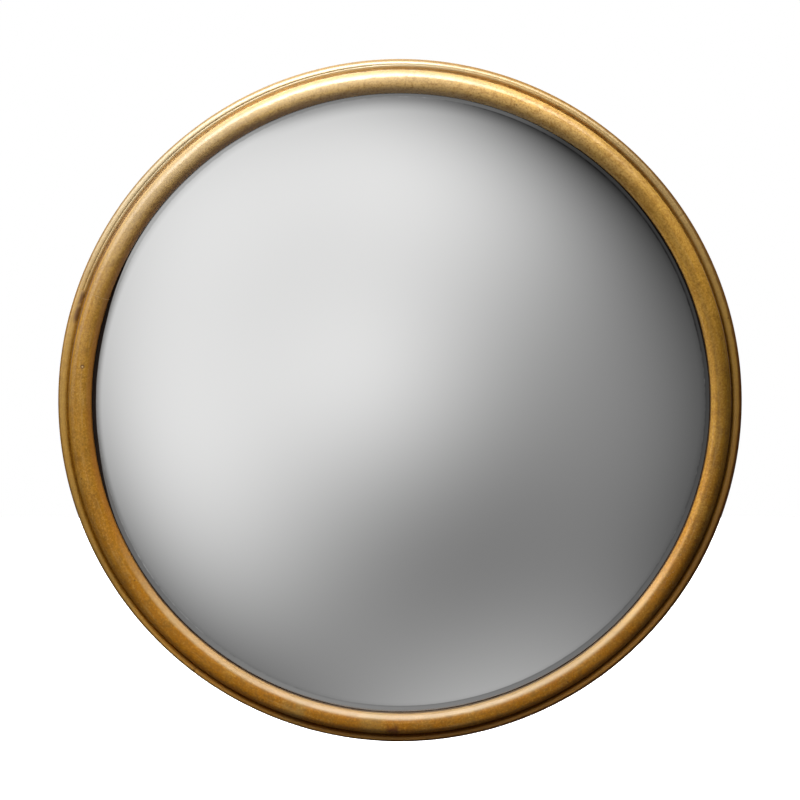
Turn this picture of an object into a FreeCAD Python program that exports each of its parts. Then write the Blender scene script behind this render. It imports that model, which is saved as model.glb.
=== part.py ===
import FreeCAD, Part
import math
import os
import Sketcher
from FreeCAD import Placement, Rotation, Vector

# Round convex wall mirror in a brass-clad moulded frame.
#
# Frame of the model: millimetres, +Z up, the mirror faces -Y, the wall is the
# plane Y = 0 and everything lies in Y <= 0.  The origin is the centre of the
# rear face.  Depths in the sheet are measured forward from the wall, so a
# depth of 10 is the plane Y = -10.  Angles run counter-clockwise from +X as
# seen from the front.
#
# From the front to the back:
#   brass sheet moulding (lip, groove, half-round bead, rear flange),
#   felt gasket, bent glass, centring shims, foam cushion, backboard,
#   turned wooden core ring, turn buttons with screws and washers,
#   two hinged hanger rings on strap plates.

doc = FreeCAD.newDocument("ConvexMirror")

# ---------------------------------------------------------------- dimensions
sheet = doc.addObject("Spreadsheet::Sheet", "Dimensions")
CELLS = [
    # moulding
    ("overall_radius", 200.0, "outside of the brass moulding"),
    ("sheet_thick", 0.8, "brass sheet"),
    ("edge_round", 0.6, "rounded rear edge of the brass"),
    ("lip_side_depth", 17.7, "depth where the side wall turns into the lip"),
    ("lip_inner_radius", 195.5, "inner foot of the lip"),
    ("lip_round", 2.6, "section radius of the lip"),
    ("lip_under_round", 1.75, "section radius under the lip"),
    ("groove_depth", 16.9, "bottom of the groove"),
    ("groove_outer", 194.9, ""),
    ("groove_inner", 194.1, ""),
    ("bead_centre", 187.45, "radius at which the half-round bead is centred"),
    ("bead_level", 18.65, "depth of the centre of the bead's section"),
    ("bead_round", 6.35, "section radius of the bead"),
    ("bead_foot", 17.7, "depth of the bead's outer foot"),
    ("bead_return", 18.0, "depth of the inner edge of the brass"),
    ("flange_inner", 195.8, "inner edge of the rear flange"),
    ("seam_angle", 160.0, "where the ends of the moulding meet"),
    ("seam_gap", 0.15, "degrees left open between the two ends"),
    # wooden core
    ("core_outer", 199.1, ""),
    ("core_rear", 0.9, ""),
    ("core_rim_inner", 195.5, "inside of the raised rear rim"),
    ("core_step", 6.0, "depth of the step that carries the fittings"),
    ("core_front", 16.0, "front of the wood under the lip"),
    ("rebate_radius", 186.6, "rebate for glass and backboard"),
    ("shoulder_radius", 182.9, "inner edge of the shoulder"),
    ("shoulder_front", 17.5, "shoulder depth at its inner edge"),
    ("shoulder_rear", 16.2, "shoulder depth at the rebate wall"),
    # glass
    ("glass_radius", 186.0, "rim of the glass"),
    ("glass_curve", 560.0, "radius of the front sphere"),
    ("glass_thick", 4.0, ""),
    ("glass_apex", 47.56, "depth of the foremost point"),
    ("glass_bevel", 0.5, "ground edge"),
    ("gasket_inner", 180.5, ""),
    ("gasket_outer", 185.9, ""),
    ("gasket_gap", 0.05, ""),
    ("gasket_thick", 0.45, ""),
    ("cushion_inner", 178.5, ""),
    ("cushion_outer", 185.9, ""),
    ("shim_thick", 0.5, ""),
    ("shim_half_angle", 1.6, "degrees"),
    # backboard
    ("board_radius", 185.9, ""),
    ("board_thick", 3.0, ""),
    # turn buttons
    ("fitting_radius", 190.5, "pitch radius of every screw in the step"),
    ("button_count", 6, ""),
    ("button_first", 30.0, "angle of the first turn button"),
    ("button_half_width", 4.25, ""),
    ("button_tail", 14.0, "pivot to the end of the tail"),
    ("button_tip", 3.2, "section radius of the tail end"),
    ("button_thick", 1.5, ""),
    ("button_gap", 0.3, "button to board"),
    ("button_bore", 1.8, ""),
    ("washer_outer", 3.4, ""),
    ("washer_thick", 0.5, ""),
    ("screw_neck", 1.74, "smooth neck in the button"),
    ("screw_core", 1.4, "threaded part in the wood"),
    ("screw_length", 13.5, "depth of the screw's point"),
    ("screw_head", 3.0, ""),
    ("screw_head_high", 1.6, ""),
    ("screw_slot", 0.7, ""),
    # hanger straps and rings
    ("hanger_angle", 35.0, "each side of the top"),
    ("strap_width", 9.0, ""),
    ("strap_thick", 1.0, ""),
    ("strap_tail", 4.5, "strap past its screw"),
    ("knuckle_reach", 14.5, "screw to ring axis"),
    ("knuckle_outer", 2.2, ""),
    ("knuckle_bore", 1.18, ""),
    ("ring_wire", 1.1, "radius of the ring's wire"),
    ("ring_half_width", 6.2, "to the middle of the wire"),
    ("ring_corner", 1.5, ""),
    ("ring_leg", 5.0, "ring axis to the centre of the bow"),
    # pins
    ("pin_count", 12, ""),
    ("pin_radius_at", 197.4, "pitch radius of the flange pins"),
    ("pin_head", 1.25, ""),
    ("pin_shank", 0.6, ""),
    ("pin_length", 8.0, ""),
]
for row, (alias, value, note) in enumerate(CELLS, start=1):
    sheet.set("A%d" % row, alias.replace("_", " "))
    sheet.set("B%d" % row, repr(value))
    sheet.setAlias("B%d" % row, alias)
    if note:
        sheet.set("C%d" % row, note)
doc.recompute()
D = {alias: float(getattr(sheet, alias)) for alias, _, _ in CELLS}


def ref(text):
    """Write every alias in an expression as a reference to the sheet."""
    out, word = [], ""
    for ch in text + " ":
        if ch.isalnum() or ch == "_":
            word += ch
        else:
            out.append("Dimensions." + word if word in D else word)
            out.append(ch)
            word = ""
    return "".join(out).strip()


# a second sheet works out single values, so that the first is never touched
workings = doc.addObject("Spreadsheet::Sheet", "Workings")


def number(text):
    """The value of an expression of the dimensions."""
    workings.set("A1", "=" + ref(text))
    workings.recompute()
    return float(workings.get("A1"))


# ------------------------------------------------------------------- helpers
bodies = []


def new_body(label):
    body = doc.addObject("PartDesign::Body", label)
    body.Label = label
    bodies.append(body)
    return body


def plane(body, role):
    for item in body.Origin.OriginFeatures:
        if item.Role == role:
            return item
    raise ValueError(role)


def new_sketch(body, name, role="XY_Plane", offset=None, turn=0.0):
    sk = body.newObject("Sketcher::SketchObject", name)
    sk.AttachmentSupport = (plane(body, role), [""])
    sk.MapMode = "FlatFace"
    sk.AttachmentOffset = Placement(
        Vector(0, 0, 0), Rotation(Vector(0, 1, 0), turn)
    )
    if offset:
        sk.setExpression("AttachmentOffset.Base.z", ref(offset))
    return sk


def outline(sk, points):
    """A closed outline.  Each point is (x, y[, radius, bulge]) with x and y as
    expressions; radius and bulge (+1 left, -1 right of the travel) make the
    edge that leaves the point an arc instead of a line."""
    xy = [(number(p[0]), number(p[1])) for p in points]
    count = len(points)
    travel = []
    for i, p in enumerate(points):
        a = Vector(xy[i][0], xy[i][1], 0)
        j = (i + 1) % count
        b = Vector(xy[j][0], xy[j][1], 0)
        if len(p) < 3:
            sk.addGeometry(Part.LineSegment(a, b), False)
            travel.append((1, 2))
            continue
        rad = number(p[2])
        half = (b - a) * 0.5
        left = Vector(-half.y, half.x, 0)
        left.normalize()
        rise = math.sqrt(max(rad * rad - half.Length ** 2, 0.0))
        # the centre lies opposite to the bulge unless the arc is a big one
        big = len(p) > 4 and p[4]
        side = p[3] if big else -p[3]
        centre = a + half + left * (rise * side)
        # an arc that bulges to the left is travelled clockwise
        first, last = (b, a) if p[3] > 0 else (a, b)
        t0 = math.atan2(first.y - centre.y, first.x - centre.x)
        t1 = math.atan2(last.y - centre.y, last.x - centre.x)
        while t1 <= t0:
            t1 += 2 * math.pi
        sk.addGeometry(Part.ArcOfCircle(
            Part.Circle(centre, Vector(0, 0, 1), rad), t0, t1), False)
        travel.append((2, 1) if p[3] > 0 else (1, 2))
    for i in range(count):
        j = (i + 1) % count
        sk.addConstraint(
            Sketcher.Constraint("Coincident", i, travel[i][1], j, travel[j][0])
        )
    for i, p in enumerate(points):
        for kind, k in (("DistanceX", 0), ("DistanceY", 1)):
            if abs(xy[i][k]) < 1e-9:
                on = -2 if k == 0 else -1
                sk.addConstraint(
                    Sketcher.Constraint("PointOnObject", i, travel[i][0], on)
                )
                continue
            c = sk.addConstraint(
                Sketcher.Constraint(kind, -1, 1, i, travel[i][0], xy[i][k])
            )
            sk.setExpression("Constraints[%d]" % c, ref(p[k]))
        if len(p) > 2:
            c = sk.addConstraint(Sketcher.Constraint("Radius", i, number(p[2])))
            sk.setExpression("Constraints[%d]" % c, ref(p[2]))
    return sk


def disc(sk, x, y, rad):
    """A circle whose centre and radius follow expressions."""
    cx, cy, r = number(x), number(y), number(rad)
    g = sk.addGeometry(
        Part.Circle(Vector(cx, cy, 0), Vector(0, 0, 1), r), False
    )
    for kind, k, text in (("DistanceX", cx, x), ("DistanceY", cy, y)):
        if abs(k) < 1e-9:
            on = -2 if kind == "DistanceX" else -1
            sk.addConstraint(Sketcher.Constraint("PointOnObject", g, 3, on))
            continue
        c = sk.addConstraint(Sketcher.Constraint(kind, -1, 1, g, 3, k))
        sk.setExpression("Constraints[%d]" % c, ref(text))
    c = sk.addConstraint(Sketcher.Constraint("Radius", g, r))
    sk.setExpression("Constraints[%d]" % c, ref(rad))


def axis_line(sk, x):
    """A construction line parallel to the sketch's vertical axis."""
    cx = number(x)
    g = sk.addGeometry(
        Part.LineSegment(Vector(cx, -30, 0), Vector(cx, 10, 0)), True
    )
    sk.addConstraint(Sketcher.Constraint("Vertical", g))
    c = sk.addConstraint(Sketcher.Constraint("DistanceX", -1, 1, g, 1, cx))
    sk.setExpression("Constraints[%d]" % c, ref(x))
    sk.addConstraint(Sketcher.Constraint("DistanceY", -1, 1, g, 1, -30.0))
    sk.addConstraint(Sketcher.Constraint("DistanceY", -1, 1, g, 2, 10.0))
    return "Axis0"


def revolve(body, sk, angle="360", axis="V_Axis", name="Turned"):
    rev = body.newObject("PartDesign::Revolution", name)
    rev.Profile = sk
    rev.ReferenceAxis = (sk, [axis])
    rev.setExpression("Angle", ref(angle))
    sk.Visibility = False
    return rev


def volume(body):
    doc.recompute()
    return body.Shape.Volume


def pocket(body, sk, depth, reverse, name="Pocket"):
    before = volume(body)
    cut = body.newObject("PartDesign::Pocket", name)
    cut.Profile = sk
    cut.Type = "Length"
    cut.setExpression("Length", ref(depth))
    cut.Reversed = reverse
    after = volume(body)
    if not after < before - 1e-3:
        raise RuntimeError("%s of %s removes nothing" % (name, body.Label))
    return cut


def ring_pattern(body, originals, count, span="360", name="Round"):
    pat = body.newObject("PartDesign::PolarPattern", name)
    if originals:
        pat.Originals = originals
    else:
        pat.TransformMode = "Whole shape"
    pat.Axis = (plane(body, "Y_Axis"), [""])
    pat.setExpression("Angle", ref(span))
    pat.setExpression("Occurrences", ref(count))
    body.Tip = pat
    return pat


def turn_to(body, angle):
    """Turn a body about Y, so that what is drawn at +X sits at an angle that
    is counter-clockwise as seen from the front."""
    body.Placement = Placement(Vector(0, 0, 0), Rotation(Vector(0, 1, 0), -10))
    body.setExpression("Placement.Rotation.Angle", "-(" + ref(angle) + ")")


def at_fitting(body, angle):
    """Put a fitting on the pitch circle of the step, its +X to the centre."""
    body.Placement = Placement(Vector(1, 0, 1), Rotation(Vector(0, 1, 0), 10))
    body.setExpression("Placement.Base.x",
                       ref("fitting_radius * cos(%s)" % angle))
    body.setExpression("Placement.Base.z",
                       ref("fitting_radius * sin(%s)" % angle))
    body.setExpression("Placement.Rotation.Angle", ref("180 - (%s)" % angle))


# ------------------------------------------------------------ brass moulding
# The sheet is drawn as one closed section and turned almost a full circle;
# its two ends meet at the seam.
moulding = new_body("brass_moulding")
sk = new_sketch(moulding, "MouldingSection")
outline(sk, [
    ("flange_inner", "0"),
    ("overall_radius - edge_round", "0", "edge_round", 1),
    ("overall_radius", "-edge_round"),
    ("overall_radius", "-lip_side_depth", "lip_round", 1),
    ("lip_inner_radius", "-lip_side_depth"),
    ("groove_outer", "-groove_depth"),
    ("groove_inner", "-groove_depth"),
    ("bead_centre + sqrt(bead_round^2 - (bead_level - bead_foot)^2)",
     "-bead_foot", "bead_round", 1, True),
    ("bead_centre - bead_round + 0.002", "-(bead_level - 0.15)"),
    ("bead_centre - bead_round + 0.002", "-bead_return"),
    ("bead_centre - bead_round + sheet_thick", "-bead_return"),
    ("bead_centre - bead_round + sheet_thick + 0.002",
     "-(bead_level - 0.15)", "bead_round - sheet_thick", -1, True),
    ("bead_centre + sqrt((bead_round - sheet_thick)^2"
     " - (bead_level - bead_foot + 0.1)^2)", "-(bead_foot - 0.1)"),
    ("groove_inner - sheet_thick", "-(groove_depth - sheet_thick)"),
    ("groove_outer + 0.4", "-(groove_depth - sheet_thick)"),
    ("lip_inner_radius + 0.55", "-(lip_side_depth - 0.6)",
     "lip_under_round", -1),
    ("overall_radius - sheet_thick", "-(lip_side_depth - 0.6)"),
    ("overall_radius - sheet_thick", "-sheet_thick"),
    ("flange_inner", "-sheet_thick"),
])
revolve(moulding, sk, "360 - seam_gap")
# holes for the flange pins: a seat for the head and a hole for the shank
sk = new_sketch(moulding, "PinSeat", "XZ_Plane")
disc(sk, "pin_radius_at * cos(15)", "pin_radius_at * sin(15)",
     "pin_head + 0.1")
seat = pocket(moulding, sk, "0.5", True, "PinSeats")
sk = new_sketch(moulding, "PinHole", "XZ_Plane")
disc(sk, "pin_radius_at * cos(15)", "pin_radius_at * sin(15)",
     "pin_shank + 0.05")
hole = pocket(moulding, sk, "sheet_thick + 0.3", True, "PinHoles")
ring_pattern(moulding, [seat, hole], "pin_count")
turn_to(moulding, "seam_angle")

# the solder that fills the seam, the same section over the open angle
solder = new_body("seam_solder")
sk = new_sketch(solder, "SeamSection")
outline(sk, [
    ("overall_radius - sheet_thick", "-1.5"),
    ("overall_radius - 0.02", "-1.5"),
    ("overall_radius - 0.02", "-lip_side_depth", "lip_round", 1),
    ("lip_inner_radius + 0.02", "-lip_side_depth"),
    ("lip_inner_radius + 0.55", "-(lip_side_depth - 0.6)",
     "lip_under_round", -1),
    ("overall_radius - sheet_thick", "-(lip_side_depth - 0.6)"),
])
revolve(solder, sk, "seam_gap - 0.02")
turn_to(solder, "seam_angle + seam_gap - 0.01")

# a curved strip behind the seam keeps the two ends in line
backing = new_body("seam_backing_strip")
sk = new_sketch(backing, "StripSection")
outline(sk, [
    ("core_outer - 5.2", "-(core_front - 0.75)"),
    ("core_outer - 0.3", "-(core_front - 0.75)"),
    ("core_outer - 0.3", "-(core_front + 0.05)"),
    ("core_outer - 5.2", "-(core_front + 0.05)"),
])
revolve(backing, sk, "4")
turn_to(backing, "seam_angle + 2")

# --------------------------------------------------------------- wooden core
core = new_body("wooden_core_ring")
sk = new_sketch(core, "CoreSection")
outline(sk, [
    ("core_rim_inner", "-core_rear"),
    ("core_outer", "-core_rear"),
    ("core_outer", "-core_front"),
    ("bead_centre + 5.75", "-core_front"),
    ("bead_centre + 5.15", "-(bead_level - 0.05)"),
    ("bead_centre + 3.85", "-(bead_level + 2.65)"),
    ("bead_centre + 1.55", "-(bead_level + 4.75)"),
    ("bead_centre - 1.55", "-(bead_level + 4.75)"),
    ("bead_centre - 3.85", "-(bead_level + 2.65)"),
    ("shoulder_radius", "-(bead_level + 0.35)"),
    ("shoulder_radius", "-shoulder_front"),
    ("rebate_radius", "-shoulder_rear"),
    ("rebate_radius", "-core_step"),
    ("core_rim_inner", "-core_step"),
])
revolve(core, sk)
# pilot holes for the turn-button screws
sk = new_sketch(core, "ButtonPilot", "XZ_Plane", offset="core_step")
disc(sk, "fitting_radius * cos(button_first)",
     "fitting_radius * sin(button_first)", "screw_core + 0.03")
pilot = pocket(core, sk, "screw_length - core_step + 0.5", True, "ButtonPilots")
ring_pattern(core, [pilot], "button_count", name="ButtonPilotRound")
# pilot holes for the two hanger straps
sk = new_sketch(core, "StrapPilot", "XZ_Plane", offset="core_step")
disc(sk, "fitting_radius * sin(hanger_angle)",
     "fitting_radius * cos(hanger_angle)", "screw_core + 0.03")
disc(sk, "-fitting_radius * sin(hanger_angle)",
     "fitting_radius * cos(hanger_angle)", "screw_core + 0.03")
pocket(core, sk, "screw_length - core_step + 0.5", True, "StrapPilots")
# pilot holes for the flange pins
sk = new_sketch(core, "PinPilot", "XZ_Plane", offset="core_rear")
disc(sk, "pin_radius_at * cos(seam_angle + 15)",
     "pin_radius_at * sin(seam_angle + 15)", "pin_shank + 0.03")
pilot = pocket(core, sk, "pin_length", True, "PinPilots")
ring_pattern(core, [pilot], "pin_count", name="PinPilotRound")
# the shallow seat for the strip behind the seam
before = volume(core)
sk = new_sketch(core, "StripSeat", turn=1.0)
outline(sk, [
    ("core_outer - 5.4", "-(core_front - 0.8)"),
    ("core_outer + 0.3", "-(core_front - 0.8)"),
    ("core_outer + 0.3", "-(core_front + 0.3)"),
    ("core_outer - 5.4", "-(core_front + 0.3)"),
])
sk.setExpression("AttachmentOffset.Rotation.Angle", ref("-(seam_angle + 2.15)"))
cut = core.newObject("PartDesign::Groove", "StripSeatCut")
cut.Profile = sk
cut.ReferenceAxis = (sk, ["V_Axis"])
cut.Angle = 4.3
if not volume(core) < before - 1.0:
    raise RuntimeError("the strip's seat removes nothing")

# --------------------------------------------------------------------- glass
# two concentric spheres; the sheet's centre lies behind the wall
CENTRE = "-(glass_apex - glass_curve)"
glass_section = doc.addObject("Sketcher::SketchObject", "GlassSection")
FRONT = "(" + CENTRE + " - sqrt(glass_curve^2 - %s^2))"
REAR = "(" + CENTRE + " - sqrt((glass_curve - glass_thick)^2 - %s^2))"
outline(glass_section, [
    ("0", "-glass_apex", "glass_curve", -1),
    ("glass_radius - glass_bevel", FRONT % "(glass_radius - glass_bevel)"),
    ("glass_radius", FRONT % "glass_radius" + " + glass_bevel"),
    ("glass_radius", REAR % "glass_radius" + " - glass_bevel"),
    ("glass_radius - glass_bevel", REAR % "(glass_radius - glass_bevel)",
     "glass_curve - glass_thick", 1),
    ("0", "-(glass_apex - glass_thick)"),
])
glass = doc.addObject("Part::Revolution", "mirror_glass")
glass.Label = "mirror_glass"
glass.Source = glass_section
glass.Axis = Vector(0, 1, 0)
glass.Base = Vector(0, 0, 0)
glass.Angle = 360.0
glass.Solid = True
bodies.append(glass)

# felt between the glass and the brass, just showing inside the bead
gasket = new_body("glass_gasket")
sk = new_sketch(gasket, "GasketSection")
outline(sk, [
    ("gasket_inner", FRONT % "gasket_inner" + " - gasket_gap"),
    ("gasket_inner", FRONT % "gasket_inner" + " - gasket_gap - gasket_thick"),
    ("gasket_outer", FRONT % "gasket_outer" + " - gasket_gap - gasket_thick"),
    ("gasket_outer", FRONT % "gasket_outer" + " - gasket_gap"),
])
revolve(gasket, sk)

# foam between the rim of the glass and the backboard
cushion = new_body("rim_cushion")
sk = new_sketch(cushion, "CushionSection")
outline(sk, [
    ("cushion_inner", "-(core_step + board_thick)"),
    ("cushion_outer", "-(core_step + board_thick)"),
    ("cushion_outer", REAR % "cushion_outer" + " + 0.55"),
    ("cushion_outer - 1", REAR % "(cushion_outer - 1)" + " + 0.05"),
    ("cushion_inner", REAR % "cushion_inner" + " + 0.05"),
])
revolve(cushion, sk)

# cork slips that centre the glass in the rebate
shims = new_body("centring_shims")
shims.AllowCompound = True
sk = new_sketch(shims, "ShimSection")
outline(sk, [
    ("glass_radius + 0.03", "-(core_step + board_thick + 3.2)"),
    ("glass_radius + 0.03 + shim_thick", "-(core_step + board_thick + 3.2)"),
    ("glass_radius + 0.03 + shim_thick", "-(shoulder_rear - 0.9)"),
    ("glass_radius + 0.03", "-(shoulder_rear - 0.9)"),
])
slip = revolve(shims, sk, "2 * shim_half_angle")
ring_pattern(shims, [slip], "6")
turn_to(shims, "shim_half_angle")

# ----------------------------------------------------------------- backboard
board = new_body("backboard")
sk = new_sketch(board, "BoardOutline", "XZ_Plane", offset="core_step")
disc(sk, "0", "0", "board_radius")
pad = board.newObject("PartDesign::Pad", "Board")
pad.Profile = sk
pad.setExpression("Length", ref("board_thick"))
doc.recompute()
edge = board.newObject("PartDesign::Chamfer", "BoardEdge")
edge.Base = (pad, [name for name, e in
                   zip(["Edge%d" % (k + 1) for k in range(9)], pad.Shape.Edges)
                   if e.Curve.TypeId == "Part::GeomCircle"])
edge.Size = 0.4

# -------------------------------------------------------------- turn buttons
# Drawn with the pivot at the origin and the tail along +X, which points to
# the centre of the mirror once the button is in place.
COUNT = int(D["button_count"])
for k in range(COUNT):
    angle = "button_first + %d * 360 / button_count" % k
    button = new_body("turn_button_%d" % (k + 1))
    sk = new_sketch(button, "ButtonOutline", "XZ_Plane",
                    offset="core_step - button_gap - button_thick")
    outline(sk, [
        ("0", "-button_half_width"),
        ("button_tail - button_tip", "-button_tip", "button_tip * 1.03", -1),
        ("button_tail - button_tip", "button_tip"),
        ("0", "button_half_width", "button_half_width * 1.03", -1),
    ])
    pad = button.newObject("PartDesign::Pad", "Plate")
    pad.Profile = sk
    pad.setExpression("Length", ref("button_thick"))
    volume(button)
    # raised grip across the tail
    sk = new_sketch(button, "GripOutline", "XZ_Plane",
                    offset="core_step - button_gap - button_thick - 1.1")
    outline(sk, [
        ("button_tail - 4.6", "-2.2"),
        ("button_tail - 3.0", "-2.2"),
        ("button_tail - 3.0", "2.2"),
        ("button_tail - 4.6", "2.2"),
    ])
    grip = button.newObject("PartDesign::Pad", "Grip")
    grip.Profile = sk
    grip.Length = 1.3
    sk = new_sketch(button, "ButtonBore", "XZ_Plane", offset="0")
    disc(sk, "0", "0", "button_bore")
    bore = pocket(button, sk, "core_step", True, "Bore")
    outer = [
        "Edge%d" % (i + 1) for i, e in enumerate(bore.Shape.Edges)
        if all(abs(v.Point.y + D["core_step"] - D["button_gap"]
                   - D["button_thick"]) < 1e-6 or
               abs(v.Point.y + (D["core_step"] - D["button_gap"]
                                - D["button_thick"])) < 1e-6
               for v in e.Vertexes)
        and not (e.Curve.TypeId == "Part::GeomCircle"
                 and abs(e.Curve.Radius - D["button_bore"]) < 1e-6)
        and max(abs(v.Point.z) for v in e.Vertexes) > 2.5
    ]
    rounded = button.newObject("PartDesign::Fillet", "Softened")
    rounded.Base = (bore, outer)
    rounded.Radius = 0.4
    at_fitting(button, angle)

# washers and screws of the turn buttons
washers = new_body("turn_button_washers")
washers.AllowCompound = True
sk = new_sketch(washers, "WasherSection")
TOP = "(core_step - button_gap - button_thick - 0.1)"
outline(sk, [
    ("fitting_radius + screw_neck + 0.05", "-" + TOP),
    ("fitting_radius + washer_outer", "-" + TOP),
    ("fitting_radius + washer_outer", "-(" + TOP + " - washer_thick)"),
    ("fitting_radius + screw_neck + 0.05", "-(" + TOP + " - washer_thick)"),
])
ring = revolve(washers, sk, axis=axis_line(sk, "fitting_radius"))
ring_pattern(washers, [ring], "button_count")
turn_to(washers, "button_first")


def stub(body, name, centre, rad, top, length):
    """A round length of metal on the line Y through the given radius."""
    sk = new_sketch(body, name + "Outline", "XZ_Plane", offset=top)
    disc(sk, centre, "0", rad)
    pad = body.newObject("PartDesign::Pad", name)
    pad.Profile = sk
    pad.setExpression("Length", ref(length))
    volume(body)
    return pad


def rim_edges(shape, depth, rad):
    """The names of the circles of one radius at one depth."""
    return ["Edge%d" % (i + 1) for i, e in enumerate(shape.Edges)
            if e.Curve.TypeId == "Part::GeomCircle"
            and abs(e.Curve.Radius - rad) < 1e-6
            and abs(e.Curve.Center.y + depth) < 1e-6]


def screw_set(label, first, count, span, seat, neck_end):
    """Pan-head slotted screws on the fitting circle.  seat is the depth of
    the underside of the head, neck_end the depth where the neck stops."""
    body = new_body(label)
    body.AllowCompound = True
    head = "(" + seat + " - screw_head_high)"
    stub(body, "Head", "fitting_radius", "screw_head", head,
         "screw_head_high")
    stub(body, "Neck", "fitting_radius", "screw_neck", seat,
         neck_end + " - " + seat)
    thread = stub(body, "Thread", "fitting_radius", "screw_core", neck_end,
                  "screw_length - " + neck_end)
    domed = body.newObject("PartDesign::Fillet", "DomedHead")
    domed.Base = (thread, rim_edges(thread.Shape, number(head),
                                    D["screw_head"]))
    domed.Radius = 1.2
    volume(body)
    point = body.newObject("PartDesign::Chamfer", "Point")
    point.Base = (domed, rim_edges(domed.Shape, D["screw_length"],
                                   D["screw_core"]))
    point.Size = 1.1
    volume(body)
    sk = new_sketch(body, "SlotOutline", "XZ_Plane", offset=head)
    outline(sk, [
        ("fitting_radius - screw_head - 1", "-screw_slot / 2"),
        ("fitting_radius + screw_head + 1", "-screw_slot / 2"),
        ("fitting_radius + screw_head + 1", "screw_slot / 2"),
        ("fitting_radius - screw_head - 1", "screw_slot / 2"),
    ])
    pocket(body, sk, "0.8", True, "DriverSlot")
    ring_pattern(body, None, count, span)
    turn_to(body, first)
    return body


screw_set("turn_button_screws", "button_first", "button_count", "360",
          "(" + TOP + " - washer_thick - 0.05)", "(core_step - 0.02)")
screw_set("hanger_strap_screws", "90 + hanger_angle", "2", "2 * hanger_angle",
          "(core_step - strap_thick - 0.02)", "(core_step - 0.02)")

# ------------------------------------------------------------ hanger fittings
for side, angle in (("right", "90 - hanger_angle"), ("left", "90 + hanger_angle")):
    strap = new_body("hanger_strap_" + side)
    sk = new_sketch(strap, "StrapOutline", "XZ_Plane",
                    offset="core_step - strap_thick")
    outline(sk, [
        ("-strap_tail + 3.3", "-strap_width / 2"),
        ("knuckle_reach", "-strap_width / 2"),
        ("knuckle_reach", "strap_width / 2"),
        ("-strap_tail + 3.3", "strap_width / 2", "strap_width / 2 + 0.35", -1),
    ])
    pad = strap.newObject("PartDesign::Pad", "Plate")
    pad.Profile = sk
    pad.setExpression("Length", ref("strap_thick"))
    volume(strap)
    sk = new_sketch(strap, "KnuckleOutline")
    disc(sk, "knuckle_reach", "-(core_step - knuckle_outer)", "knuckle_outer")
    pad = strap.newObject("PartDesign::Pad", "Knuckle")
    pad.Profile = sk
    pad.setExpression("Length", ref("strap_width"))
    pad.SideType = "Symmetric"
    volume(strap)
    sk = new_sketch(strap, "KnuckleBore", offset="-strap_width")
    disc(sk, "knuckle_reach", "-(core_step - knuckle_outer)", "knuckle_bore")
    pocket(strap, sk, "3 * strap_width", True, "RingBore")
    sk = new_sketch(strap, "StrapHole", "XZ_Plane", offset="0")
    disc(sk, "0", "0", "screw_neck + 0.1")
    pocket(strap, sk, "core_step + 1", True, "ScrewHole")
    at_fitting(strap, angle)

    ring = new_body("hanger_ring_" + side)
    sk = new_sketch(ring, "WireSection")
    disc(sk, "knuckle_reach", "-(core_step - knuckle_outer)", "ring_wire")
    path = new_sketch(ring, "RingPath", "XZ_Plane",
                      offset="core_step - knuckle_outer")
    outline(path, [
        ("knuckle_reach", "0"),
        ("knuckle_reach", "ring_half_width - ring_corner", "ring_corner", 1),
        ("knuckle_reach + ring_corner", "ring_half_width"),
        ("knuckle_reach + ring_leg", "ring_half_width", "ring_half_width", 1),
        ("knuckle_reach + ring_leg + ring_half_width", "0",
         "ring_half_width", 1),
        ("knuckle_reach + ring_leg", "-ring_half_width"),
        ("knuckle_reach + ring_corner", "-ring_half_width",
         "ring_corner", 1),
        ("knuckle_reach", "-(ring_half_width - ring_corner)"),
    ])
    pipe = ring.newObject("PartDesign::AdditivePipe", "Wire")
    pipe.Profile = sk
    pipe.Spine = path
    at_fitting(ring, angle)

# ------------------------------------------------------------------ the pins
pins = new_body("flange_pins")
pins.AllowCompound = True
stub(pins, "Head", "pin_radius_at", "pin_head", "0.08", "0.4")
shank = stub(pins, "Shank", "pin_radius_at", "pin_shank", "0.48",
             "pin_length - 0.48")
point = pins.newObject("PartDesign::Chamfer", "Point")
point.Base = (shank, rim_edges(shank.Shape, D["pin_length"], D["pin_shank"]))
point.Size = 0.5
volume(pins)
ring_pattern(pins, None, "pin_count")
turn_to(pins, "seam_angle + 15")

# -------------------------------------------------------------------- output
doc.recompute()
bad = [o.Name for o in doc.Objects
       if any(s in ("Invalid", "Error") for s in o.State)]
if bad:
    raise RuntimeError("failed features: %s" % ", ".join(bad))
for body in bodies:
    shape = body.Shape
    if shape.isNull() or not shape.isValid():
        raise RuntimeError("bad shape: " + body.Label)
doc.removeObject(workings.Name)
os.makedirs("parts", exist_ok=True)
for name in os.listdir("parts"):
    if name.endswith(".step"):
        os.remove(os.path.join("parts", name))
for body in bodies:
    shape = body.Shape
    box = shape.BoundBox
    shape.exportStep(os.path.join("parts", body.Label + ".step"))
    print("%-22s solids %2d volume %10.2f  x %.2f..%.2f y %.2f..%.2f z %.2f..%.2f"
          % (body.Label, len(shape.Solids), shape.Volume, box.XMin, box.XMax,
             box.YMin, box.YMax, box.ZMin, box.ZMax))
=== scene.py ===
import math
import random

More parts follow.
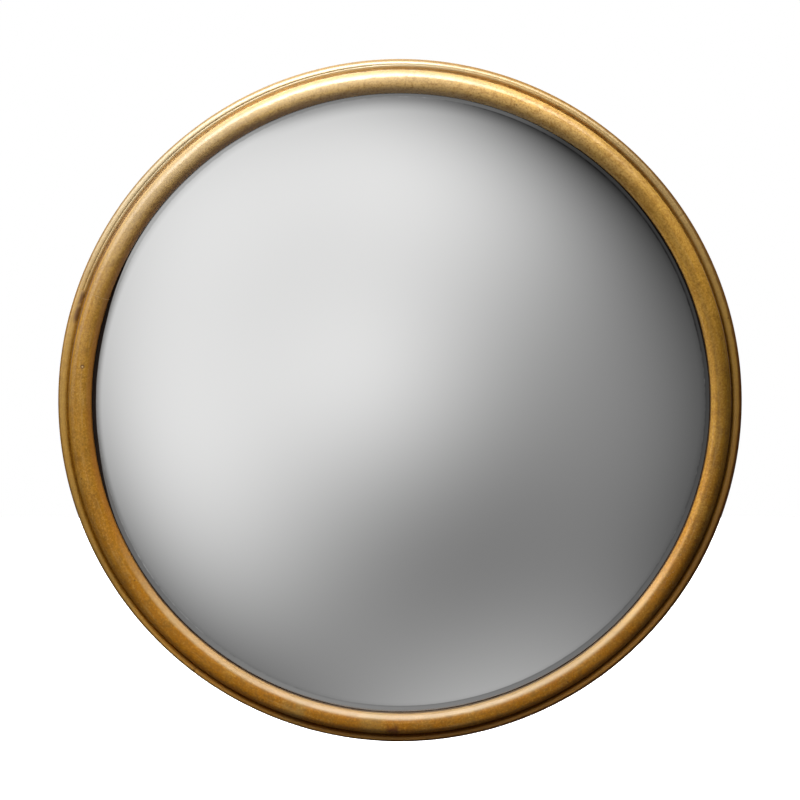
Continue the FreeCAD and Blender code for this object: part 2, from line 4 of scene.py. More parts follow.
import bmesh
import bpy
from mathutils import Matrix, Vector


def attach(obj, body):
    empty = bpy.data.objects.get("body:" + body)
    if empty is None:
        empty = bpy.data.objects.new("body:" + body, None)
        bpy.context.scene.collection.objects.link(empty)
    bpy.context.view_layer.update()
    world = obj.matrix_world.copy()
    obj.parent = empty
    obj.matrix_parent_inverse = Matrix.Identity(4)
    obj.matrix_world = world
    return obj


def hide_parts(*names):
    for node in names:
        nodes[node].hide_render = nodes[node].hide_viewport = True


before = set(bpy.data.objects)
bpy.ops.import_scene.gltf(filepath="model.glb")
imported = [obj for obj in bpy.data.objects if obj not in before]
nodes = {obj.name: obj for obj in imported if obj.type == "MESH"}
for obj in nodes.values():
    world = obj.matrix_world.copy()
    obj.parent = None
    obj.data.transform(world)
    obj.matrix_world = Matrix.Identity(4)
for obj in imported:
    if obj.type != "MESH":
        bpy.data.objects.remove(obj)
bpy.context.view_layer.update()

MM = 0.001
ROOT = "mirror_frame"
scene = bpy.context.scene


# --------------------------------------------------------------- small tools
def smooth(a, b, x):
    if a == b:
        return 1.0 if x >= b else 0.0
    t = min(1.0, max(0.0, (x - a) / (b - a)))
    return t * t * (3 - 2 * t)


def wrap(deg):
    """An angle difference in the range -180 to 180."""
    return (deg + 180.0) % 360.0 - 180.0


def bump_at(deg, centre, half):
    """A smooth bump of height 1, half is its half width in degrees."""
    t = abs(wrap(deg - centre)) / half
    return 0.0 if t >= 1 else (1 - t * t) ** 2


class Nodes:
    """Short calls for building a node tree."""

    def __init__(self, tree):
        self.t = tree
        self.t.nodes.clear()

    def add(self, kind, **props):
        n = self.t.nodes.new(kind)
        for k, v in props.items():
            setattr(n, k, v)
        return n

    def link(self, a, b):
        self.t.links.new(a, b)

    def put(self, socket, v):
        if isinstance(v, bpy.types.NodeSocket):
            self.t.links.new(v, socket)
        elif v is not None:
            socket.default_value = v

    def math(self, op, a, b=None, c=None, clamp=False):
        n = self.add("ShaderNodeMath", operation=op, use_clamp=clamp)
        self.put(n.inputs[0], a)
        if b is not None:
            self.put(n.inputs[1], b)
        if c is not None:
            self.put(n.inputs[2], c)
        return n.outputs[0]

    def vmath(self, op, a, b=None, out=0):
        n = self.add("ShaderNodeVectorMath", operation=op)
        self.put(n.inputs[0], a)
        if b is not None:
            self.put(n.inputs[1], b)
        return n.outputs[out]

    def ramp(self, x, lo, hi, a=0.0, b=1.0, soft=True):
        n = self.add("ShaderNodeMapRange",
                     interpolation_type="SMOOTHSTEP" if soft else "LINEAR")
        n.clamp = True
        for i, v in enumerate((x, lo, hi, a, b)):
            self.put(n.inputs[i], v)
        return n.outputs[0]

    def noise(self, vec, scale, detail=3.0, rough=0.55, warp=0.0, dims="3D"):
        n = self.add("ShaderNodeTexNoise", noise_dimensions=dims)
        self.put(n.inputs["Vector"], vec)
        n.inputs["Scale"].default_value = scale
        n.inputs["Detail"].default_value = detail
        n.inputs["Roughness"].default_value = rough
        n.inputs["Distortion"].default_value = warp
        return n.outputs["Fac"]

    def voronoi(self, vec, scale, feature="F1", rand=1.0):
        n = self.add("ShaderNodeTexVoronoi", feature=feature)
        self.put(n.inputs["Vector"], vec)
        n.inputs["Scale"].default_value = scale
        n.inputs["Randomness"].default_value = rand
        return n.outputs["Distance"]

    def mix(self, fac, a, b, mode="MIX"):
        n = self.add("ShaderNodeMix", data_type="RGBA", blend_type=mode)
        n.clamp_factor = True
        self.put(n.inputs[0], fac)
        self.put(n.inputs[6], a)
        self.put(n.inputs[7], b)
        return n.outputs[2]

    def bump(self, height, strength, distance, normal=None):
        n = self.add("ShaderNodeBump")
        n.inputs["Strength"].default_value = strength
        n.inputs["Distance"].default_value = distance
        self.put(n.inputs["Height"], height)
        if normal is not None:
            self.link(normal, n.inputs["Normal"])
        return n.outputs[0]

    def combine(self, x, y, z):
        n = self.add("ShaderNodeCombineXYZ")
        for i, v in enumerate((x, y, z)):
            self.put(n.inputs[i], v)
        return n.outputs[0]

    def separate(self, v):
        n = self.add("ShaderNodeSeparateXYZ")
        self.link(v, n.inputs[0])
        return n.outputs[0], n.outputs[1], n.outputs[2]


def rgb(r, g, b):
    return (r, g, b, 1.0)


def new_material(name):
    m = bpy.data.materials.new(name)
    m.use_nodes = True
    n = Nodes(m.node_tree)
    out = n.add("ShaderNodeOutputMaterial")
    bsdf = n.add("ShaderNodeBsdfPrincipled")
    n.link(bsdf.outputs[0], out.inputs[0])
    return m, n, bsdf


def place(n):
    """(position, radius, angle, depth) in the row frame, in metres."""
    co = n.add("ShaderNodeTexCoord").outputs["Object"]
    x, y, z = n.separate(co)
    rad = n.math("SQRT", n.math("ADD", n.math("MULTIPLY", x, x),
                                n.math("MULTIPLY", z, z)))
    ang = n.math("ARCTAN2", z, x)
    return co, rad, ang, n.math("MULTIPLY", y, -1.0)


# How far the hand-made ring stands off a true circle, in millimetres: the
# mean, then cosine and sine terms of the angle, twice it and three times it.
INNER = (-0.43, 0.41, -0.48, -0.73, 0.10, 0.15, 0.10)
MIDDLE = (-0.30, -0.05, -0.50, -0.88, 0.35, 0.02, -0.25)
OUTER = (-0.40, 0.0, 0.0, -0.40, 0.0)


def off_round(terms, angle):
    a = math.radians(angle)
    out = terms[0]
    for i, (c, s) in enumerate(zip(terms[1::2], terms[2::2])):
        out += c * math.cos((i + 1) * a) + s * math.sin((i + 1) * a)
    return out


def true_radius(n, rad, ang, terms):
    """The radius with that taken off again, for the materials."""
    out = n.math("SUBTRACT", rad, terms[0] * MM)
    for i, (a, c) in enumerate(zip(terms[1::2], terms[2::2])):
        turn = n.math("MULTIPLY", ang, float(i + 1))
        out = n.math("SUBTRACT", out, n.math(
            "MULTIPLY", n.math("COSINE", turn), a * MM))
        out = n.math("SUBTRACT", out, n.math(
            "MULTIPLY", n.math("SINE", turn), c * MM))
    return out


# ------------------------------------------------------------------ materials
def aged_brass():
    m, n, b = new_material("aged_brass")
    co, rad, ang, dep = place(n)
    # four sizes of unevenness in the patina
    broad = n.noise(co, 9.0, 3.0, 0.55)
    cloud = n.noise(co, 38.0, 4.0, 0.6)
    mottle = n.noise(co, 190.0, 4.0, 0.65, 0.4)
    grain = n.noise(co, 800.0, 3.0, 0.7)
    # fine marks left along the ring by drawing and rubbing the sheet
    along = n.combine(n.math("MULTIPLY", rad, 1.0),
                      n.math("MULTIPLY", ang, 0.012),
                      n.math("MULTIPLY", dep, 1.0))
    lines = n.noise(along, 1500.0, 3.0, 0.6)
    streak = n.noise(along, 520.0, 3.0, 0.6)
    x, y, z = n.separate(co)
    # radii that follow the ring where it is a little out of round
    r_in = true_radius(n, rad, ang, INNER)
    r_mid = true_radius(n, rad, ang, MIDDLE)
    r_out = true_radius(n, rad, ang, OUTER)
    # painted light and shade: the colour is yellower and paler towards the top,
    # where the light falls, and more orange towards the bottom
    level = n.math("ADD", z, n.math("MULTIPLY", n.math(
        "SUBTRACT", broad, 0.5), 0.14))
    col = n.mix(n.ramp(level, -0.17, 0.05), rgb(0.58, 0.215, 0.005),
                rgb(0.60, 0.300, 0.030))
    col = n.mix(n.ramp(level, 0.05, 0.19), col, rgb(0.71, 0.445, 0.150))
    col = n.mix(n.math("MULTIPLY", n.ramp(cloud, 0.48, 0.68), 0.35), col,
                rgb(0.68, 0.39, 0.070))
    col = n.mix(n.math("MULTIPLY", n.ramp(cloud, 0.44, 0.26), 0.40), col,
                rgb(0.44, 0.25, 0.050))
    col = n.mix(n.math("MULTIPLY", n.ramp(mottle, 0.48, 0.66), 0.50), col,
                rgb(0.36, 0.165, 0.022))
    col = n.mix(n.math("MULTIPLY", n.ramp(grain, 0.48, 0.64), 0.55), col,
                rgb(0.29, 0.125, 0.018))
    col = n.mix(n.math("MULTIPLY", n.ramp(grain, 0.46, 0.33), 0.40), col,
                rgb(0.90, 0.55, 0.120))
    col = n.mix(n.math("MULTIPLY", n.ramp(lines, 0.52, 0.75), 0.30), col,
                rgb(0.32, 0.150, 0.030))
    col = n.mix(n.math("MULTIPLY", n.ramp(streak, 0.52, 0.70), 0.28), col,
                rgb(0.36, 0.170, 0.026))
    col = n.mix(n.math("MULTIPLY", n.ramp(streak, 0.46, 0.30), 0.22), col,
                rgb(0.78, 0.50, 0.170))
    # greenish grey bloom in places at the lower left
    bloom = n.math("MULTIPLY", n.ramp(broad, 0.50, 0.62),
                   n.ramp(cloud, 0.46, 0.62))
    bloom = n.math("MULTIPLY", bloom, n.ramp(n.math("ADD", x, z),
                                             -0.02, -0.22))
    col = n.mix(n.math("MULTIPLY", bloom, 0.28), col, rgb(0.40, 0.30, 0.110))
    # painted highlight: paler along the inner edge below and over the upper
    # left, where the light from above falls
    lean = n.math("SUBTRACT", z, x)
    right = n.math("ADD", x, z)
    lower_edge_highlight = n.math("MULTIPLY", n.ramp(z, -0.07, -0.13),
                   n.ramp(r_in, 0.1856, 0.1838))
    col = n.mix(n.math("MULTIPLY", lower_edge_highlight, 0.55), col, rgb(0.76, 0.58, 0.30))
    upper_left_highlight = n.math("MULTIPLY", n.ramp(lean, 0.10, 0.24, 0.0, 0.42),
                   n.ramp(z, 0.05, 0.13))
    col = n.mix(n.math("MULTIPLY", upper_left_highlight, n.ramp(
        r_mid, 0.1855, 0.1895, 0.20, 1.0)), col, rgb(0.80, 0.64, 0.38))
    # the lip is handled most and is the brightest metal
    lip = n.math("MULTIPLY", n.ramp(r_mid, 0.1950, 0.1960),
                 n.ramp(r_out, 0.1996, 0.1985))
    col = n.mix(n.math("MULTIPLY", lip, 0.45), col, rgb(0.70, 0.43, 0.110))
    # painted highlight: the lip is painted paler still at the top, most at the
    # upper left, where the light falls
    col = n.mix(n.math("MULTIPLY", n.math("MULTIPLY", lip, n.ramp(
        z, 0.03, 0.15)), n.ramp(right, 0.19, 0.26, 0.72, 0.28)), col,
                rgb(0.84, 0.69, 0.43))
    # scattered small dark specks
    speck = n.ramp(n.voronoi(co, 150.0), 0.02, 0.12, 1.0, 0.0)
    pick = n.ramp(n.noise(co, 60.0, 1.0), 0.56, 0.64)
    col = n.mix(n.math("MULTIPLY", n.math("MULTIPLY", speck, pick), 0.75),
                col, rgb(0.10, 0.045, 0.012))
    # tarnish that stays in the groove is the metal's own; the masks add painted
    # shade: a dark painted rim along the outer edge, darker to the right and
    # the foot, and a near-black painted shadow by the glass
    groove = n.ramp(n.math("ABSOLUTE", n.math("SUBTRACT", r_mid, 0.19430)),
                    0.0002, 0.0014, 1.0, 0.0)
    outer = n.math("ADD", r_out, n.ramp(n.math("SUBTRACT", x, n.math(
        "MULTIPLY", z, 0.5)), 0.02, 0.16, 0.0, 0.0010))
    outer = n.ramp(n.math("ADD", outer, n.math("MULTIPLY", n.math(
        "SUBTRACT", mottle, 0.5), 0.0008)), 0.19850, 0.19965)
    shallow = n.ramp(dep, 0.0196, 0.0176)
    # painted shade: the inner flank on the left, which faces away from the
    # light, is darkened to red-brown
    inner = n.math("MULTIPLY", n.ramp(x, 0.06, -0.13), n.ramp(n.math(
        "ADD", r_in, n.math("MULTIPLY", n.math("SUBTRACT", mottle, 0.5),
                            0.0018)), 0.1858, 0.1818))
    inner = n.math("MULTIPLY", inner, n.ramp(z, -0.11, -0.04, 0.25, 1.0))
    # painted shadow: near black along the inner edge, where the brass turns
    # under, less of it at the top and on the left
    edge = n.ramp(n.math("ADD", r_in, n.math("MULTIPLY", n.math(
        "SUBTRACT", mottle, 0.5), 0.0005)), 0.18165, 0.18125)
    edge = n.math("MULTIPLY", edge, n.ramp(z, 0.110, 0.172, 0.88, 0.20))
    edge = n.math("MULTIPLY", edge, n.ramp(x, -0.140, -0.172, 1.0, 0.40))
    # painted shade: the tarnish is graded, least at the upper left and less at
    # the upper right, where the light falls, most at the lower right
    kept = n.ramp(n.math("SUBTRACT", x, z), -0.25, 0.12, 0.0, 0.62)
    kept = n.math("MULTIPLY", kept, n.ramp(right, 0.20, 0.26, 1.0, 0.60))
    tarnish_and_shade = n.math("MAXIMUM", n.math("MULTIPLY", n.math(
        "MULTIPLY", groove, shallow), kept), n.math(
            "MULTIPLY", outer, n.math("ADD", kept, 0.42)))
    # painted shade on the lip at the lower right, away from the light
    lower_lip_shade = n.math("MULTIPLY", n.ramp(r_mid, 0.1946, 0.1958), n.ramp(
        n.math("SUBTRACT", n.math("MULTIPLY", x, 0.45), z), 0.02, 0.17))
    col = n.mix(n.math("MULTIPLY", lower_lip_shade, 0.55), col,
                rgb(0.46, 0.185, 0.032))
    col = n.mix(n.math("MULTIPLY", inner, 0.68), col, rgb(0.46, 0.165, 0.026))
    col = n.mix(tarnish_and_shade, col, rgb(0.185, 0.068, 0.014))
    col = n.mix(edge, col, rgb(0.060, 0.026, 0.010))
    # a small pit left of centre, with painted shade round its rim and a painted
    # glint at its centre
    away = n.vmath("DISTANCE", n.combine(x, 0.0, z), (-0.1841, 0.0, 0.02290),
                   out=1)
    rim = n.math("MULTIPLY", n.ramp(away, 0.0003, 0.0007),
                 n.ramp(away, 0.0016, 0.0009))
    col = n.mix(n.math("MULTIPLY", rim, 0.80), col, rgb(0.16, 0.060, 0.014))
    col = n.mix(n.ramp(away, 0.0007, 0.0002, 0.0, 0.7), col,
                rgb(1.0, 0.72, 0.36))
    # the solder stain after the seam and the brown mark at the foot
    deg = n.math("MULTIPLY", ang, 57.29578)
    stain_a = n.math("MULTIPLY", n.ramp(n.math("ABSOLUTE", n.math(
        "SUBTRACT", deg, 162.9)), 1.9, 3.3, 1.0, 0.0),
        n.math("MULTIPLY", n.ramp(r_mid, 0.1948, 0.1956),
               n.ramp(r_mid, 0.1985, 0.1968)))
    stain_b = n.math("MULTIPLY", n.ramp(n.math("ABSOLUTE", n.math(
        "ADD", deg, 91.3)), 0.6, 1.5, 1.0, 0.0),
        n.math("MULTIPLY", n.ramp(r_mid, 0.1855, 0.1882),
               n.ramp(r_mid, 0.1948, 0.1936)))
    broken = n.ramp(mottle, 0.28, 0.58)
    col = n.mix(n.math("MULTIPLY", n.math("MULTIPLY", stain_a, broken), 0.85),
                col, rgb(0.160, 0.060, 0.018))
    col = n.mix(n.math("MULTIPLY", n.math("MULTIPLY", stain_b, broken), 0.85),
                col, rgb(0.200, 0.062, 0.014))
    # painted light and shade: the whole colour is scaled, brighter at the top
    # and on the left, where the light falls, darker on the right
    deep = n.math("SUBTRACT", 0.43, n.math("MULTIPLY", x, 0.46))
    deep = n.math("ADD", deep, n.ramp(z, 0.135, 0.192, 0.0, 0.24))
    deep = n.math("ADD", deep, n.math("MULTIPLY", n.ramp(
        right, 0.20, 0.26, 0.0, 0.12), n.math(
            "MULTIPLY", n.ramp(r_mid, 0.1875, 0.1895, 1.0, 1.8), n.ramp(
                r_mid, 0.1946, 0.1956, 1.0, 0.10))))
    # painted highlight along the inner edge at the right and the foot
    inner_edge_highlight = n.math("MULTIPLY", n.ramp(n.math("SUBTRACT", x, z), -0.06, 0.12,
                                     0.0, 0.34), n.ramp(z, -0.17, -0.10))
    deep = n.math("ADD", deep, n.math("MULTIPLY", inner_edge_highlight, n.ramp(
        r_in, 0.1856, 0.1830)))
    # and painted light on the outer half at the foot
    deep = n.math("ADD", deep, n.math("MULTIPLY", n.ramp(
        z, -0.085, -0.170, 0.0, 0.56), n.ramp(r_mid, 0.1870, 0.1920)))
    # painted shade on the outer half of the bead at the right, which faces away
    # from the light
    right_flank_shade = n.math("MULTIPLY", n.ramp(r_mid, 0.1870, 0.1930),
                  n.ramp(r_mid, 0.1957, 0.1945))
    right_flank_shade = n.math("MULTIPLY", right_flank_shade, n.ramp(z, 0.095, 0.020))
    deep = n.math("MULTIPLY", deep, n.math("SUBTRACT", 1.0, n.math(
        "MULTIPLY", n.ramp(x, 0.05, 0.17, 0.0, 0.42), right_flank_shade)))
    # painted light in the groove, worn shallow there, and on the lip at the
    # upper left, where the light falls
    deep = n.math("ADD", deep, n.math("MULTIPLY", n.ramp(
        lean, 0.15, 0.26, 0.0, 0.26), n.math("MULTIPLY", n.ramp(
            r_mid, 0.1925, 0.1940), n.ramp(r_mid, 0.1958, 0.1948))))
    deep = n.math("ADD", deep, n.math("MULTIPLY", n.math(
        "MULTIPLY", n.ramp(lean, 0.19, 0.26, 0.0, 0.03), n.ramp(
            z, 0.060, 0.100)), n.ramp(r_mid, 0.1900, 0.1925)))
    col = n.vmath("MULTIPLY", col, n.combine(deep, deep, deep))
    n.link(col, b.inputs["Base Color"])
    b.inputs["Metallic"].default_value = 0.06
    b.inputs["Specular IOR Level"].default_value = 0.0
    rough = n.math("ADD", 0.34, n.math("MULTIPLY", mottle, 0.14))
    rough = n.math("ADD", rough, n.math("MULTIPLY", tarnish_and_shade, 0.20))
    n.link(rough, b.inputs["Roughness"])
    # the old lacquer is left at the top and along the inner edge below
    coat = n.math("ADD", n.ramp(n.math("SUBTRACT", z, n.math(
        "MULTIPLY", x, 0.45)), 0.050, 0.165, 0.30, 0.88), n.math(
            "MULTIPLY", n.ramp(n.math("SUBTRACT", x, z), 0.0, 0.15, 0.0,
                               0.18), n.ramp(r_in, 0.1872, 0.1845)))
    coat = n.math("MULTIPLY", coat, n.ramp(right, 0.20, 0.26, 1.0, 0.55))
    n.link(n.math("MULTIPLY", coat, n.math("SUBTRACT", 1.0, n.math(
        "MULTIPLY", outer, 0.6))), b.inputs["Coat Weight"])
    n.link(n.math("ADD", n.ramp(z, -0.06, -0.16, 0.16, 0.27), n.math(
        "MULTIPLY", mottle, 0.14)), b.inputs["Coat Roughness"])
    b.inputs["Coat IOR"].default_value = 1.70
    nrm = n.bump(cloud, 0.75, 0.0014)
    nrm = n.bump(mottle, 0.45, 0.00026, nrm)
    nrm = n.bump(grain, 0.45, 0.00008, nrm)
    nrm = n.bump(lines, 0.35, 0.00006, nrm)
    n.link(nrm, b.inputs["Normal"])
    n.link(nrm, b.inputs["Coat Normal"])
    return m


def mirror_surface():
    m, n, b = new_material("mirror_surface")
    co, rad, ang, dep = place(n)
    haze = n.noise(co, 9.0, 3.0, 0.5)
    fine = n.noise(co, 260.0, 4.0, 0.65)
    col = n.mix(haze, rgb(0.902, 0.902, 0.898), rgb(0.886, 0.887, 0.884))
    # painted shade: towards the rim, where the sheet flattens, the silver is
    # painted darker and greyer, as the frame shades it
    x, y, z = n.separate(co)
    # the rim line follows the brass, which is a little out of round
    true = true_radius(n, rad, ang, INNER)
    rim = n.math("ADD", true, n.math("MULTIPLY", n.math(
        "SUBTRACT", fine, 0.5), 0.0008))
    grey = n.ramp(rim, 0.1745, 0.1815)
    dark = n.ramp(rim, 0.1786, 0.1810)
    col = n.mix(n.math("MULTIPLY", grey, 0.42), col, rgb(0.20, 0.20, 0.20))
    col = n.mix(n.math("MULTIPLY", dark, 0.30), col,
                rgb(0.135, 0.135, 0.14))
    # the last two millimetres turn flat and hold a grey of their own, painted
    # round the ring as the frame's reflection and shade
    rise = n.math("MULTIPLY", n.math("SINE", ang), 0.0009)
    sector = n.ramp(n.math("ABSOLUTE", n.math("SUBTRACT", ang, 0.80)),
                    0.75, 0.45, 0.0, 0.0004)
    flat = n.ramp(n.math("ADD", n.math("SUBTRACT", rim, rise), sector),
                  0.1776, 0.1786)
    tone = n.math("SUBTRACT", 0.317, n.math("MULTIPLY", n.math(
        "COSINE", ang), 0.088))
    tone = n.math("SUBTRACT", tone, n.math("MULTIPLY", n.math(
        "SINE", ang), 0.134))
    tone = n.math("SUBTRACT", tone, n.math("MULTIPLY", n.math(
        "COSINE", n.math("MULTIPLY", ang, 2.0)), 0.092))
    tone = n.math("SUBTRACT", tone, n.math("MULTIPLY", n.math(
        "SINE", n.math("MULTIPLY", ang, 2.0)), 0.148))
    tone = n.math("ADD", tone, n.math("MULTIPLY", n.math(
        "SINE", n.math("MULTIPLY", ang, 3.0)), 0.080))
    tone = n.math("MAXIMUM", tone, 0.060)
    col = n.mix(flat, col, n.combine(tone, tone, n.math(
        "MULTIPLY", tone, 0.99)))
    geo = n.add("ShaderNodeNewGeometry").outputs["Normal"]
    squeeze = n.math("SUBTRACT", 1.0, n.math("MULTIPLY", n.ramp(
        n.math("SUBTRACT", true, rise), 0.1778, 0.1789), 0.75))
    n.link(n.vmath("NORMALIZE", n.vmath("MULTIPLY", geo, n.combine(
        squeeze, 1.0, squeeze))), b.inputs["Normal"])
    # painted reflection: the black strip on the left shows in the glass beside
    # it
    beside = n.math("MULTIPLY", n.ramp(x, -0.150, -0.174),
                    n.ramp(true, 0.1750, 0.1792))
    col = n.mix(n.math("MULTIPLY", beside, 0.60), col, rgb(0.15, 0.14, 0.13))
    # and painted shade from the brass at the top leaves it darker there
    above = n.math("MULTIPLY", n.ramp(z, 0.150, 0.172),
                   n.ramp(true, 0.1700, 0.1790))
    col = n.mix(n.math("MULTIPLY", above, 0.50), col, rgb(0.25, 0.25, 0.25))
    spots = n.math("MULTIPLY", n.ramp(n.voronoi(co, 210.0), 0.03, 0.10,
                                      1.0, 0.0),
                   n.ramp(rad, 0.1745, 0.1805))
    spots = n.math("MULTIPLY", spots, n.ramp(n.noise(co, 70.0, 1.0),
                                             0.56, 0.64))
    col = n.mix(n.math("MULTIPLY", spots, 0.30), col, rgb(0.06, 0.045, 0.035))
    n.link(col, b.inputs["Base Color"])
    b.inputs["Metallic"].default_value = 1.0
    n.link(n.math("ADD", 0.015, n.math("ADD", n.math("MULTIPLY", haze, 0.015),
                                       n.math("MULTIPLY", dark, 0.20))),
           b.inputs["Roughness"])
    return m


def back_paint():
    m, n, b = new_material("mirror_back_paint")
    co, rad, ang, dep = place(n)
    a = n.noise(co, 60.0, 4.0, 0.6)
    n.link(n.mix(a, rgb(0.10, 0.10, 0.105), rgb(0.17, 0.165, 0.16)),
           b.inputs["Base Color"])
    b.inputs["Roughness"].default_value = 0.55
    n.link(n.bump(n.noise(co, 900.0, 2.0), 0.3, 0.0001), b.inputs["Normal"])
    return m


def felt(name, light, dark, scale=1.0):
    m, n, b = new_material(name)
    co, rad, ang, dep = place(n)
    fibre = n.noise(co, 2600.0 * scale, 3.0, 0.7, 1.5)
    tuft = n.noise(co, 420.0 * scale, 3.0, 0.6)
    n.link(n.mix(n.math("MULTIPLY", fibre, tuft), dark, light),
           b.inputs["Base Color"])
    b.inputs["Roughness"].default_value = 0.95
    b.inputs["Sheen Weight"].default_value = 0.02
    b.inputs["Specular IOR Level"].default_value = 0.1
    n.link(n.bump(fibre, 0.6, 0.0002, n.bump(tuft, 0.4, 0.0004)),
           b.inputs["Normal"])
    return m


def turned_wood():
    m, n, b = new_material("turned_wood")
    co, rad, ang, dep = place(n)
    # straight grain across the blank, with growth rings and pores
    stretch = n.vmath("MULTIPLY", co, (1.0, 9.0, 9.0))
    wide = n.noise(stretch, 16.0, 5.0, 0.62, 0.8)
    rings = n.add("ShaderNodeTexWave", wave_type="BANDS",
                  bands_direction="Z", wave_profile="SAW")
    n.put(rings.inputs["Vector"], n.vmath("ADD", n.vmath(
        "MULTIPLY", co, (0.12, 1.0, 1.0)), n.combine(0.0, 0.0, n.math(
            "MULTIPLY", wide, 0.010))))
    rings.inputs["Scale"].default_value = 60.0
    rings.inputs["Distortion"].default_value = 1.2
    rings.inputs["Detail"].default_value = 3.0
    pores = n.noise(n.vmath("MULTIPLY", co, (1.0, 14.0, 14.0)), 210.0,
                    2.0, 0.7)
    col = n.mix(n.ramp(wide, 0.3, 0.7), rgb(0.235, 0.125, 0.060),
                rgb(0.150, 0.073, 0.033))
    col = n.mix(n.math("MULTIPLY", rings.outputs["Fac"], 0.35), col,
                rgb(0.095, 0.044, 0.020))
    col = n.mix(n.math("MULTIPLY", n.ramp(pores, 0.60, 0.74), 0.6), col,
                rgb(0.050, 0.022, 0.010))
    n.link(col, b.inputs["Base Color"])
    n.link(n.math("ADD", 0.50, n.math("MULTIPLY", wide, 0.18)),
           b.inputs["Roughness"])
    lathe = n.noise(n.combine(rad, n.math("MULTIPLY", ang, 0.002), dep),
                    2400.0, 2.0, 0.5)
    n.link(n.bump(pores, 0.5, 0.00015, n.bump(lathe, 0.25, 0.00008)),
           b.inputs["Normal"])
    return m


def hardboard():
    m, n, b = new_material("hardboard")
    co, rad, ang, dep = place(n)
    fibre = n.noise(n.vmath("MULTIPLY", co, (1.0, 1.0, 2.6)), 900.0,
                    4.0, 0.7, 2.0)
    flakes = n.noise(co, 170.0, 4.0, 0.66, 1.2)
    broad = n.noise(co, 9.0, 3.0, 0.5)
    col = n.mix(n.ramp(flakes, 0.35, 0.68), rgb(0.245, 0.150, 0.082),
                rgb(0.175, 0.098, 0.050))
    col = n.mix(n.math("MULTIPLY", n.ramp(fibre, 0.52, 0.72), 0.55), col,
                rgb(0.090, 0.048, 0.024))
    col = n.mix(n.math("MULTIPLY", n.ramp(broad, 0.45, 0.75), 0.35), col,
                rgb(0.300, 0.200, 0.118))
    # handling marks and a darker, dusty rim
    rim = n.ramp(rad, 0.165, 0.186)
    col = n.mix(n.math("MULTIPLY", rim, n.math("MULTIPLY", flakes, 0.55)),
                col, rgb(0.080, 0.046, 0.026))
    n.link(col, b.inputs["Base Color"])
    n.link(n.math("ADD", 0.48, n.math("MULTIPLY", flakes, 0.25)),
           b.inputs["Roughness"])
    n.link(n.bump(fibre, 0.35, 0.0001, n.bump(flakes, 0.3, 0.0002)),
           b.inputs["Normal"])
    return m


def small_brass(name, base, dark, rough):
    m, n, b = new_material(name)
    co, rad, ang, dep = place(n)
    a = n.noise(co, 260.0, 4.0, 0.6)
    g = n.noise(n.vmath("MULTIPLY", co, (1.0, 1.0, 6.0)), 900.0, 2.0, 0.6)
    col = n.mix(n.ramp(a, 0.45, 0.70), base, dark)
    n.link(col, b.inputs["Base Color"])
    b.inputs["Metallic"].default_value = 1.0
    n.link(n.math("ADD", rough, n.math("MULTIPLY", a, 0.2)),
           b.inputs["Roughness"])
    n.link(n.bump(g, 0.2, 0.00005, n.bump(a, 0.2, 0.0001)),
           b.inputs["Normal"])
    return m


def cork():
    m, n, b = new_material("cork")
    co, rad, ang, dep = place(n)
    cell = n.voronoi(co, 700.0)
    a = n.noise(co, 300.0, 3.0)
    col = n.mix(n.ramp(cell, 0.1, 0.6), rgb(0.22, 0.11, 0.05),
                rgb(0.52, 0.34, 0.19))
    col = n.mix(n.math("MULTIPLY", a, 0.4), col, rgb(0.30, 0.17, 0.09))
    n.link(col, b.inputs["Base Color"])
    b.inputs["Roughness"].default_value = 0.85
    n.link(n.bump(cell, 0.5, 0.0002), b.inputs["Normal"])
    return m


BRASS = aged_brass()
MIRROR = mirror_surface()
PAINT = back_paint()
FELT = felt("black_felt", rgb(0.030, 0.018, 0.012), rgb(0.006, 0.004, 0.003))
FOAM = felt("grey_foam", rgb(0.16, 0.16, 0.16), rgb(0.07, 0.07, 0.07), 0.5)
WOOD = turned_wood()
BOARD = hardboard()
CORK = cork()
BUTTON = small_brass("button_brass", rgb(0.60, 0.42, 0.17),
                     rgb(0.33, 0.21, 0.08), 0.28)
PLAIN = small_brass("plain_brass", rgb(0.62, 0.44, 0.19),
                    rgb(0.36, 0.23, 0.09), 0.30)
SOLDER = small_brass("solder", rgb(0.40, 0.25, 0.090),
                     rgb(0.20, 0.11, 0.035), 0.45)
ZINC = small_brass("zinc_steel", rgb(0.50, 0.50, 0.49),
                   rgb(0.30, 0.29, 0.27), 0.30)
NICKEL = small_brass("nickel_steel", rgb(0.55, 0.52, 0.47),
                     rgb(0.33, 0.29, 0.24), 0.26)

CAD_LOOK = {
    "seam_solder": SOLDER, "seam_backing_strip": PLAIN,
    "wooden_core_ring": WOOD, "rim_cushion": FOAM, "centring_shims": CORK,
    "backboard": BOARD, "turn_button_washers": PLAIN,
    "turn_button_screws": ZINC, "hanger_strap_screws": ZINC,
    "hanger_strap_right": NICKEL, "hanger_strap_left": NICKEL,
    "hanger_ring_right": NICKEL, "hanger_ring_left": NICKEL,
    "flange_pins": PLAIN,
}
for k in range(1, 7):
    CAD_LOOK["turn_button_%d" % k] = BUTTON
for name, mat in CAD_LOOK.items():
    ob = nodes[name]
    ob.data.materials.clear()
    ob.data.materials.append(mat)


